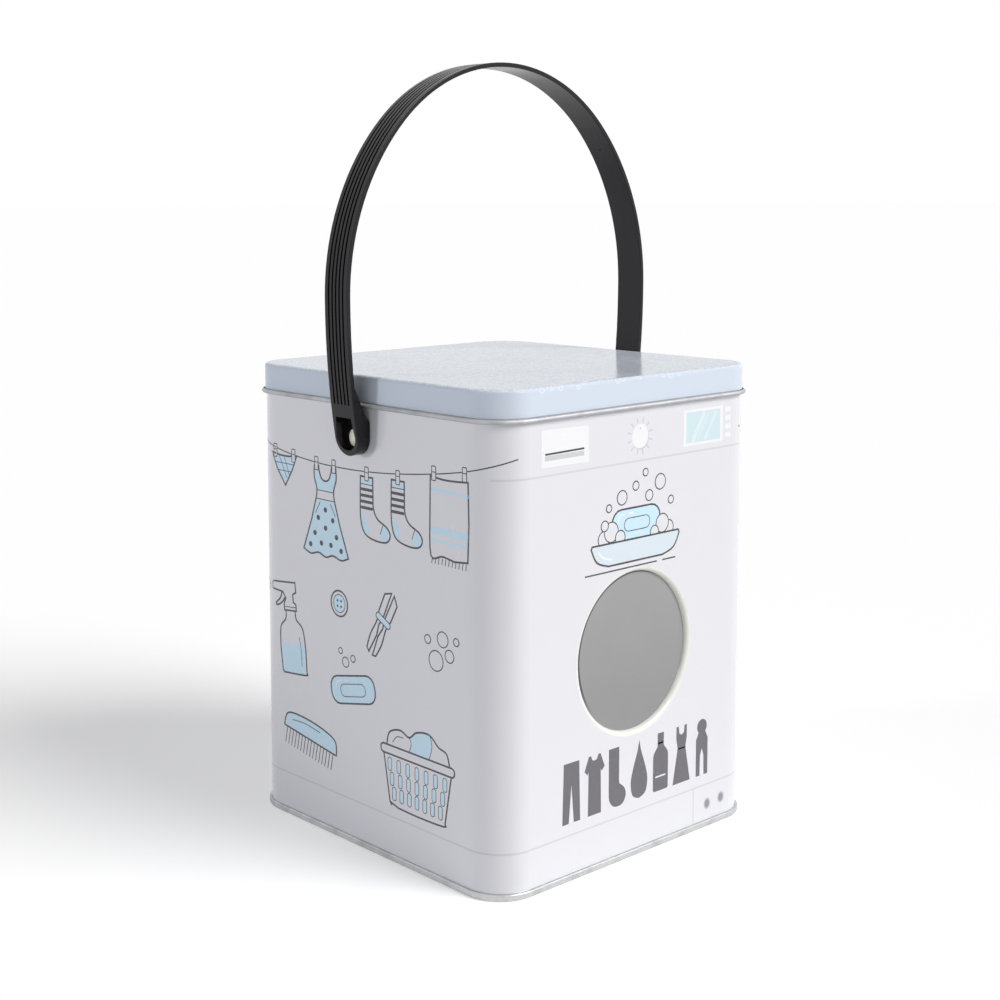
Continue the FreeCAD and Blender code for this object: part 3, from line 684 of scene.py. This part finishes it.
def sock(flip=1):
    edge = [(4, 0)] + smooth([(4.1, -8), (4.4, -13), (7, -17), (13, -19.8), (15, -23), (12.5, -26), (5, -26.2),
                              (-1.5, -24), (-4, -18), (-4.2, -9), (-4, 0)])
    heel = smooth([(-4.2, -15.5), (-0.5, -17.8), (1.4, -21), (0.9, -25), (-1.5, -24), (-3.6, -20.4),
                   (-4.2, -15.5)], 3)[:-1]
    toe = smooth([(10.6, -18.8), (13, -19.8), (15, -23), (12.5, -26), (9.6, -26.4), (8.8, -23),
                  (10.6, -18.8)], 3)[:-1]
    shapes = [("ground", "fill", edge), ("blue", "fill", heel), ("blue", "fill", toe),
              ("blue", "fill", [(-4, 0), (4, 0), (4, -3), (-4, -3)]), ("ink", line, edge, "closed"),
              ("ink", 0.4, [(-4.1, -3.2), (4, -3.2)]), ("ink", 0.4, toe[-3:] + toe[:1])]
    shapes += [("ink", 1.3, [(-3.4, y), (3.4, y)]) for y in (-5.4, -8, -10.6, -13.2)]
    return [(ink, kind, [(x * flip, y) for x, y in points], *more) for ink, kind, points, *more in shapes]


def dress():
    half = smooth([(7.4, 0), (7.6, -5), (5.8, -10), (6.2, -14)], 4) + smooth([(9.6, -24), (15.5, -38)], 4)
    hem = smooth([(15.5, -38), (10.5, -39.6), (5, -38.4), (0, -39.8), (-5, -38.4), (-10.5, -39.6), (-15.5, -38)], 4)
    edge = half + hem[1:] + [(-x, y) for x, y in half[::-1]][1:]
    edge += [(-4.4, 0)] + smooth([(-4.2, -2), (-2.6, -5.4), (0, -6.4), (2.6, -5.4), (4.2, -2)], 4) + [(4.4, 0)]
    dots = [(0, -19), (-5, -23), (5, -23), (0, -27), (-7.5, -30), (7.5, -30), (-3, -34), (3.6, -34),
            (10.6, -35.5), (-10.6, -35.5)]
    shapes = [("blue", "fill", edge), ("ground", "fill", [(-5.9, -11), (5.9, -11), (6.3, -14.4), (-6.3, -14.4)])]
    shapes += [("ink", "fill", arc(x, y, 1.2)) for x, y in dots]
    shapes += [("ink", line, edge, "closed"), ("ink", 0.4, [(-5.8, -10.8), (5.8, -10.8)]),
               ("ink", 0.4, [(-6.3, -14.6), (6.3, -14.6)])]
    shapes += [("ink", 0.4, smooth([(x, -16), (x * 1.9, -21)])) for x in (-3.6, 3.6)]
    return shapes


def cloth():
    edge = [(-9, 0)] + smooth([(-3, -0.8), (3, -0.8), (9, 0)], 4) + smooth([(5.4, -7), (0.6, -14)], 3)
    edge += smooth([(-5, -7.4), (-9, 0)], 3)[:-1]
    shapes = [("blue", "fill", edge), ("ink", line, edge, "closed")]
    shapes += [("ink", 0.35, [(-6.5 + shift, -1), (0.4 + shift * 0.5, -11.6 + shift * 0.4)]) for shift in (2.6, 6.2)]
    shapes += [("ink", 0.35, [(-6.6, -4.2), (6.6, -4.2)]), ("ink", 0.35, [(-4.4, -7.6), (4.6, -7.6)])]
    return shapes


def sprayBottle():
    shoulder = smooth([(9.4, 12), (8.2, 21), (4, 25), (3.4, 29)], 5)
    body = [(-9, 1)] + smooth([(-8, 0), (8, 0), (9, 1)], 3) + shoulder + [(-x, y) for x, y in shoulder[::-1]]
    water = [(-9.2, 2), (-8, 0.3), (8, 0.3), (9.2, 2), (9.3, 13.6)]
    water += smooth([(5, 14.4), (0, 13.2), (-5, 14.2), (-9.3, 13.6)], 4)
    head = [(-4.4, 29), (4.4, 29), (4.4, 32), (2.6, 33), (2.6, 36.5), (5, 37.5), (5, 42), (-11, 42),
            (-12.6, 41.4), (-12.6, 38.6), (-4.8, 37.4), (-2.8, 34.6), (-4.4, 32)]
    trigger = smooth([(-5.4, 37.2), (-7, 34.4), (-10.4, 32), (-9.8, 31), (-6, 32.4), (-3.2, 35)], 4)
    shapes = [("ground", "fill", body), ("blue", "fill", water), ("ink", line, body, "closed"),
              ("ground", "fill", head), ("ink", line, head, "closed"), ("ink", line, trigger),
              ("ink", 0.4, [(-4.4, 30.6), (4.4, 30.6)]), ("ink", 0.4, smooth([(5.6, 4), (6, 10), (5.4, 17)]))]
    shapes += [("ink", 0.45, [(-15, 40 + step * 0.2), (-19, 40 + step)]) for step in (-3, 0, 3)]
    return shapes


def basket():
    rim = box(-24, 23, 24, 27, 1.8)
    side = [(-22, 23), (-18, 1.4)] + smooth([(-17, 0), (0, -0.5), (17, 0), (18, 1.4)], 3)[1:] + [(22, 23)]
    heap = smooth([(-20, 27), (-18, 33), (-11, 35.4), (-5, 33.6), (0, 37), (8, 38), (14, 34), (19, 32.4), (21, 27)])
    folded = smooth([(-4.8, 27), (-3.6, 31), (-4.8, 33.6), (0, 37), (8, 38), (9.6, 33), (8, 27)], 4)
    shapes = [("ground", "fill", heap), ("blue", "fill", folded), ("ink", line, heap),
              ("ink", 0.4, smooth([(-5, 27), (-3.6, 31), (-5, 33.6)])),
              ("ink", 0.4, smooth([(8, 27), (9.8, 33), (8.6, 37.8)])),
              ("ink", 0.4, smooth([(-16, 29), (-13, 32), (-9, 32.4)])), ("ground", "fill", side), ("ink", line, side),
              ("ground", "fill", rim), ("ink", line, rim, "closed"), ("ink", line, [(-18, 1.4), (-17, 0.2)])]
    for y, lean in ((18.5, 1.0), (12, 0.92), (5.5, 0.84)):
        for step in range(-3, 4):
            x = step * 6 * lean
            shapes.append(("blue", 2.2, [(x, y + 1.7), (x * 0.985, y - 1.7)]))
            shapes.append(("ink", 0.35, box(x - 1.25, y - 3.0, x + 1.25, y + 3.0, 1.1), "closed"))
    return shapes


def bubbles(*places):
    shapes = []
    for x, y, radius in places:
        shapes += [("ground", "fill", arc(x, y, radius)), ("ink", 0.5, arc(x, y, radius), "closed")]
        if radius > 1.8:
            shapes.append(("blue", 0.5, arc(x, y, radius * 0.6, 100, 190)))
    return shapes


def soapBar():
    bar = box(-15, 0, 15, 12, 5)
    return [("blue", "fill", bar), ("ink", line, bar, "closed"),
            ("white", 0.7, smooth([(-11.4, 7.4), (-10.4, 9.4), (-7.6, 10)])), ("white", 0.7, [(-4.6, 10), (-2.6, 10)]),
            ("ink", 0.4, box(-8.5, 3, 8.5, 8.4, 2.4), "closed")]


def brush():
    back = smooth([(-17, 4), (-15, 8), (-6, 9.6), (6, 9.6), (15, 8), (17, 4)]) + [(17, 2), (-17, 2)]
    shapes = [("blue", "fill", back), ("ink", line, back, "closed")]
    shapes += [("ink", 0.45, [(x, 2), (x + (-0.5 if x % 4 else 0.5), -5)]) for x in range(-15, 16, 2)]
    shapes.append(("ink", 0.4, smooth([(-12, 6), (-4, 7.4), (6, 7.4)])))
    return shapes


def largePeg():
    left = [(-1, 17), (-4.6, 14)] + smooth([(-4.4, 5), (-3.4, 0), (-4.2, -8), (-3.4, -15)], 4)
    left += [(-1.4, -16), (-0.5, -6), (-1.5, -1), (-0.6, 4)]
    right = [(-x, y) for x, y in left]
    spring = box(-5.2, 1, 5.2, 4, 1.4)
    shapes = []
    for half in (left, right):
        shapes += [("ground", "fill", half), ("ink", line, half, "closed")]
    return shapes + [("blue", "fill", spring), ("ink", 0.5, spring, "closed")]


def button():
    rim, dip = arc(0, 0, 7), arc(0, 0, 4.9)
    shapes = [("ground", "fill", rim), ("ink", line, rim, "closed"), ("blue", "fill", dip), ("ink", 0.4, dip, "closed")]
    shapes += [("ink", "fill", arc(x, y, 0.75)) for x, y in ((-1.5, -1.5), (1.5, -1.5), (1.5, 1.5), (-1.5, 1.5))]
    return shapes


def soapDish():
    # the motif over the window
    dish = [(-27, 9.4), (27, 9.4)] + smooth([(27.6, 8.2), (24, 2.4), (17, 0)], 4)
    dish += smooth([(-17, 0), (-24, 2.4), (-27.6, 8.2)], 4)
    foam = ((-20, 11.5, 3.4), (20.5, 11.2, 3.2), (-15.5, 14, 4.2), (16.5, 13.6, 4), (-10, 11, 3),
            (11.5, 10.6, 2.6), (-19.5, 17, 2.2))
    rising = ((-9, 27.5, 3), (-0.5, 31.5, 1.9), (8, 26.5, 2.3), (15, 31.5, 3.3), (22, 23, 1.7),
              (5.5, 36.5, 1.6), (-17, 24, 1.6))
    soap = box(-15, 9, 15, 22.5, 5.5)
    shapes = [("blue", "fill", soap), ("ink", line, soap, "closed"),
              ("white", 0.8, smooth([(-11.4, 17.6), (-10.2, 19.8), (-7.4, 20.4)])),
              ("white", 0.8, [(-4.4, 20.4), (-2, 20.4)]), ("ink", 0.4, box(-7.5, 13, 8.5, 18.4, 2.6), "closed")]
    shapes += bubbles(*foam)
    shapes += [("pale", "fill", dish), ("ink", line, dish, "closed"),
               ("white", 0.8, smooth([(-23, 6.4), (-20, 3.8), (-15.4, 2.6)])),
               ("ink", 0.6, [(-31, -2.3), (13, -2.3)]), ("ink", 0.6, [(17, -2.3), (25, -2.3)])]
    return shapes + bubbles(*rising)


def silhouettes():
    # seven dark shapes in a row: trousers, shirt, sock, drop, bottle, dress and peg
    look = {"first": -38.6, "spacing": 13.9, "low": 24}

    def mirrored(half):
        return half + [(-x, y) for x, y in half[::-1]]

    def spot(number):
        return look["first"] + number * look["spacing"], look["low"]

    toe = smooth([(1.4, 9.6), (4.6, 7), (5.4, 3.4), (3, 0.2), (-1.8, 0.2), (-4.8, 3.4), (-5.2, 9)], 4)
    bottle = [(2, 25.4), (2, 20.4)] + smooth([(2.2, 19.4), (4.6, 16.4), (4.9, 13)], 3)
    bottle += [(4.9, 1)] + smooth([(4.4, 0.1), (0.01, 0)], 2)
    shapes = [
        mirrored([(4.6, 25.4), (4.7, 20), (5.3, 0), (1.5, 0), (0.01, 16)]),
        mirrored([(0.01, 23), (1.4, 23.4), (2.3, 25.4), (3.6, 25.2), (6.1, 19.4), (4.3, 17.6), (3.7, 18.8),
                  (4, 0), (0.01, 0)]),
        [(-5.2, 25.4), (1.2, 25.4), (1.2, 11)] + toe,
        mirrored(smooth([(0.01, 25.4), (1.2, 20.6), (3.9, 13.6), (5.3, 7.6), (4.1, 2), (0.01, 0)], 5)),
        mirrored(bottle),
        mirrored([(0.01, 21.4), (1.5, 22.2), (2, 25.4), (3.5, 25.4), (3.5, 20), (2.6, 15.6), (5.8, 0), (0.01, 0)]),
        mirrored(arc(0, 22, 3.3, 90, -46) + [(3, 18.2), (4, 16.4), (4, 0), (1.4, 0), (1.2, 9), (0.01, 12.2)]),
    ]
    for number, points in enumerate(shapes):
        draw("front", [("grey", "fill", points)], spot(number))
    # light lines: two on the bottle, and the dress's belt
    draw("front", [("ground", 0.7, [(-2, 21), (2, 21)]), ("ground", 0.7, [(-3, 6.4), (3, 6.4)])], spot(4))
    draw("front", [("ground", 0.6, [(-2.8, 15.4), (2.8, 15.4)])], spot(5))


def printFront():
    # control panel: drawer, dial, screen and four buttons
    panel = [("white", "fill", [(-56.5, 172.2), (-29.3, 171.9), (-29.3, 186.8), (-56.5, 187.2)]),
             ("shade", "fill", [(-54.6, 174.8), (-32.0, 174.8), (-32.0, 176.8), (-54.6, 176.8)]),
             ("ink", 0.8, [(-54.2, 177.4), (-32.4, 177.7)]),
             ("shade", "fill", arc(2.4, 178.6, 5.2)), ("white", "fill", arc(2.0, 179.1, 5.1)),
             ("shade", "fill", arc(2.0, 182.4, 0.5)),
             ("white", "fill", box(29.9, 171.6, 56.4, 187.2)), ("glass", "fill", box(31.7, 172.8, 54.7, 186.0)),
             ("streak", 2.2, [(36.5, 174), (43.5, 184.8)]), ("streak", 0.7, [(39.4, 174), (46.4, 184.8)]),
             ("streak", 1.4, [(44.6, 174), (51.6, 184.8)])]
    for step in range(12):
        turn = math.radians(15 + step * 30)
        tick = [(2 + reach * math.cos(turn), 179.1 + reach * math.sin(turn)) for reach in (5.9, 7.7)]
        panel.append(("shade", 0.6, tick))
    panel += [("white", "fill", box(57.8, z - 1.1, 61.9, z + 1.1, 0.4)) for z in (185.2, 181.4, 177.7, 173.9)]
    draw("front", panel)
    draw("front", soapDish(), (0, 127.1))
    silhouettes()


def printSide(side, flip):
    # a washing line over loose things; flip mirrors the places, not the things
    rope = smooth([(84, 177), (60, 171), (30, 166.4), (0, 163.8), (-30, 163.6), (-56, 166), (-76, 170.5)], 10)
    draw(side, [("ink", 0.5, [(u * flip, v) for u, v in rope])])
    # each thing on the line: its shapes, where it hangs and where its pegs sit on it
    hung = (
        (towel(), 52, 167.2, ((-9, 1), (9, 2.6))),
        (sock(flip), 21, 162.6, ((0, 1),)),
        (sock(flip), 1, 161.6, ((0, 1),)),
        (dress(), -27, 162.6, ((-6, 0.5), (6, 0.4))),
        (cloth(), -56, 164.8, ((-6.6, 0.7), (6.6, -0.4))),
    )
    for shapes, u, v, pegPlaces in hung:
        draw(side, shapes + pegs(*[(x * flip, y + 0.6) for x, y in pegPlaces]), (u * flip, v))
    draw(side, sprayBottle(), (-50 * flip, 66), 0.98, 6)
    draw(side, largePeg(), (10 * flip, 100), 0.95, -28)
    draw(side, bubbles((0, 0, 4.2), (8, 3.4, 2.6), (4, 9.5, 3.2), (-5, 8, 1.8), (12, 10, 1.6)), (44 * flip, 92))
    draw(side, basket(), (32 * flip, 24), 0.95, 0)
    draw(side, soapBar(), (-8 * flip, 62), 1.0, 12)
    draw(side, bubbles((0, 0, 2.2), (5, 2.5, 1.5), (-3.4, 4.4, 1.3)), (-14 * flip, 79))
    draw(side, brush(), (-40 * flip, 36), 1.1, -8)
    draw(side, button(), (-18 * flip, 104), 0.8)


def printBack():
    # nearly plain: a few bubbles, a button and a basket
    draw("back", bubbles((0, 0, 5), (11, 5, 3), (4, 12, 3.8), (-9, 9, 2.2), (16, 15, 1.8), (-3, 20, 1.6)), (-18, 120))
    draw("back", button(), (30, 118), 0.9)
    draw("back", basket(), (2, 60), 1.1)


printFront()
printSide("left", 1)
printSide("right", -1)
printBack()


def makePrint(ink, look):
    mesh = bpy.data.meshes.new(ink + "Print")
    bm = prints[ink]
    bmesh.ops.recalc_face_normals(bm, faces=bm.faces)
    bm.to_mesh(mesh)
    bm.free()
    piece = addObject(ink + "Print", mesh)
    material, tree, shader, place, _ = newMaterial(ink + "Ink", tin["coat"])
    grain = useGroup(tree, sheetGrain, {"Vector": place, "Peel": 0.1, "Wave": 1.0})
    thin = softStep(tree, grain["Mottle"], 0.3, 0.8)
    colour = mixColours(tree, thin, linear(*look["colour"]), linear(*look["thin"]))
    tree.links.new(colour, shader.inputs["Base Color"])
    tree.links.new(softStep(tree, grain["Smudge"], 0.0, 1.0, *look["roughness"]), shader.inputs["Roughness"])
    addBump(tree, shader, grain["Height"], 0.05 * mm, 0.5)
    mesh.materials.append(material)
    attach(piece, "tin")
    print(piece.name, len(mesh.polygons), "faces")


for ink, look in inks.items():
    makePrint(ink, look)


def makeCamera():
    look = {
        "place": (-0.51495, -0.52526, 0.28003),
        "yaw": 0.7184, "pitch": 0.0989, "roll": -0.0053,    # radians: from +Y to +X, down, tilted left
        "lens": 59.263, "sensor": 36.0,
        "shift": (0.09211, -0.14407),
    }
    camera = addObject("camera", bpy.data.cameras.new("camera"))
    yaw, pitch, roll = look["yaw"], look["pitch"], look["roll"]
    ahead = Vector((math.sin(yaw) * math.cos(pitch), math.cos(yaw) * math.cos(pitch), -math.sin(pitch)))
    level = Vector((math.cos(yaw), -math.sin(yaw), 0))
    upright = level.cross(ahead)
    right = level * math.cos(roll) + upright * math.sin(roll)
    up = upright * math.cos(roll) - level * math.sin(roll)
    turn = Matrix((right, up, -ahead)).transposed()
    camera.matrix_world = Matrix.Translation(look["place"]) @ turn.to_4x4()
    camera.data.lens = look["lens"]
    camera.data.sensor_width = look["sensor"]
    camera.data.shift_x, camera.data.shift_y = look["shift"]
    camera.data.clip_start = 0.01
    bpy.context.scene.camera = camera


def makeFloor():
    look = {"size": 60.0, "albedo": 0.86, "glow": 0.375}
    bm = bmesh.new()
    bmesh.ops.create_grid(bm, x_segments=1, y_segments=1, size=look["size"] / 2)
    mesh = bpy.data.meshes.new("floor")
    bm.to_mesh(mesh)
    bm.free()
    floor = addObject("floor", mesh)
    material = bpy.data.materials.new("floorPaper")
    material.use_nodes = True
    tree = material.node_tree
    tree.nodes.clear()
    shade = look["albedo"]
    paper = addNode(tree, "BsdfDiffuse", {"Color": (shade, shade, shade, 1)})
    strength = maths(tree, "MULTIPLY", directRays(tree), look["glow"])
    glow = addNode(tree, "Emission", {"Color": (1, 1, 1, 1), "Strength": strength})
    both = addNode(tree, "AddShader", {0: paper.outputs[0], 1: glow.outputs[0]})
    out = tree.nodes.new("ShaderNodeOutputMaterial")
    tree.links.new(both.outputs[0], out.inputs["Surface"])
    mesh.materials.append(material)


def makeWorld():
    look = {"fill": (0.215, 0.215, 0.222, 1)}
    world = bpy.data.worlds.new("studio")
    bpy.context.scene.world = world
    world.use_nodes = True
    tree = world.node_tree
    tree.nodes.clear()
    colour = mixColours(tree, directRays(tree), look["fill"], (1, 1, 1, 1))
    sky = addNode(tree, "Background", {"Color": colour})
    out = tree.nodes.new("ShaderNodeOutputWorld")
    tree.links.new(sky.outputs[0], out.inputs["Surface"])


def addSun(name, look):
    # azimuth is measured from the front, -Y, towards +X; a level of 1 lights white paper to white
    data = bpy.data.lights.new(name, "SUN")
    data.energy = look["level"] * math.pi
    data.angle = math.radians(look["spread"])
    data.color = look["colour"]
    sun = addObject(name, data)
    sun.visible_glossy = look["mirrored"]
    azimuth, height = (math.radians(angle) for angle in look["from"])
    away = Vector((math.sin(azimuth) * math.cos(height), -math.cos(azimuth) * math.cos(height), math.sin(height)))
    sun.matrix_world = Matrix.Translation(away) @ (-away).to_track_quat("-Z", "Y").to_matrix().to_4x4()


makeCamera()
makeFloor()
makeWorld()
addSun("keySun", {"from": (24, 35.5), "spread": 34, "level": 0.8, "colour": (1.0, 0.995, 0.985), "mirrored": True})
addSun("frontSun", {"from": (40, 3.5), "spread": 9, "level": 0.06, "colour": (1.0, 1.0, 1.0), "mirrored": False})
addSun("fillSun", {"from": (-121, 8), "spread": 10, "level": 0.272, "colour": (0.93, 0.94, 1.0), "mirrored": False})
bpy.context.scene.view_settings.view_transform = "Standard"
print("camera, floor and lights made")
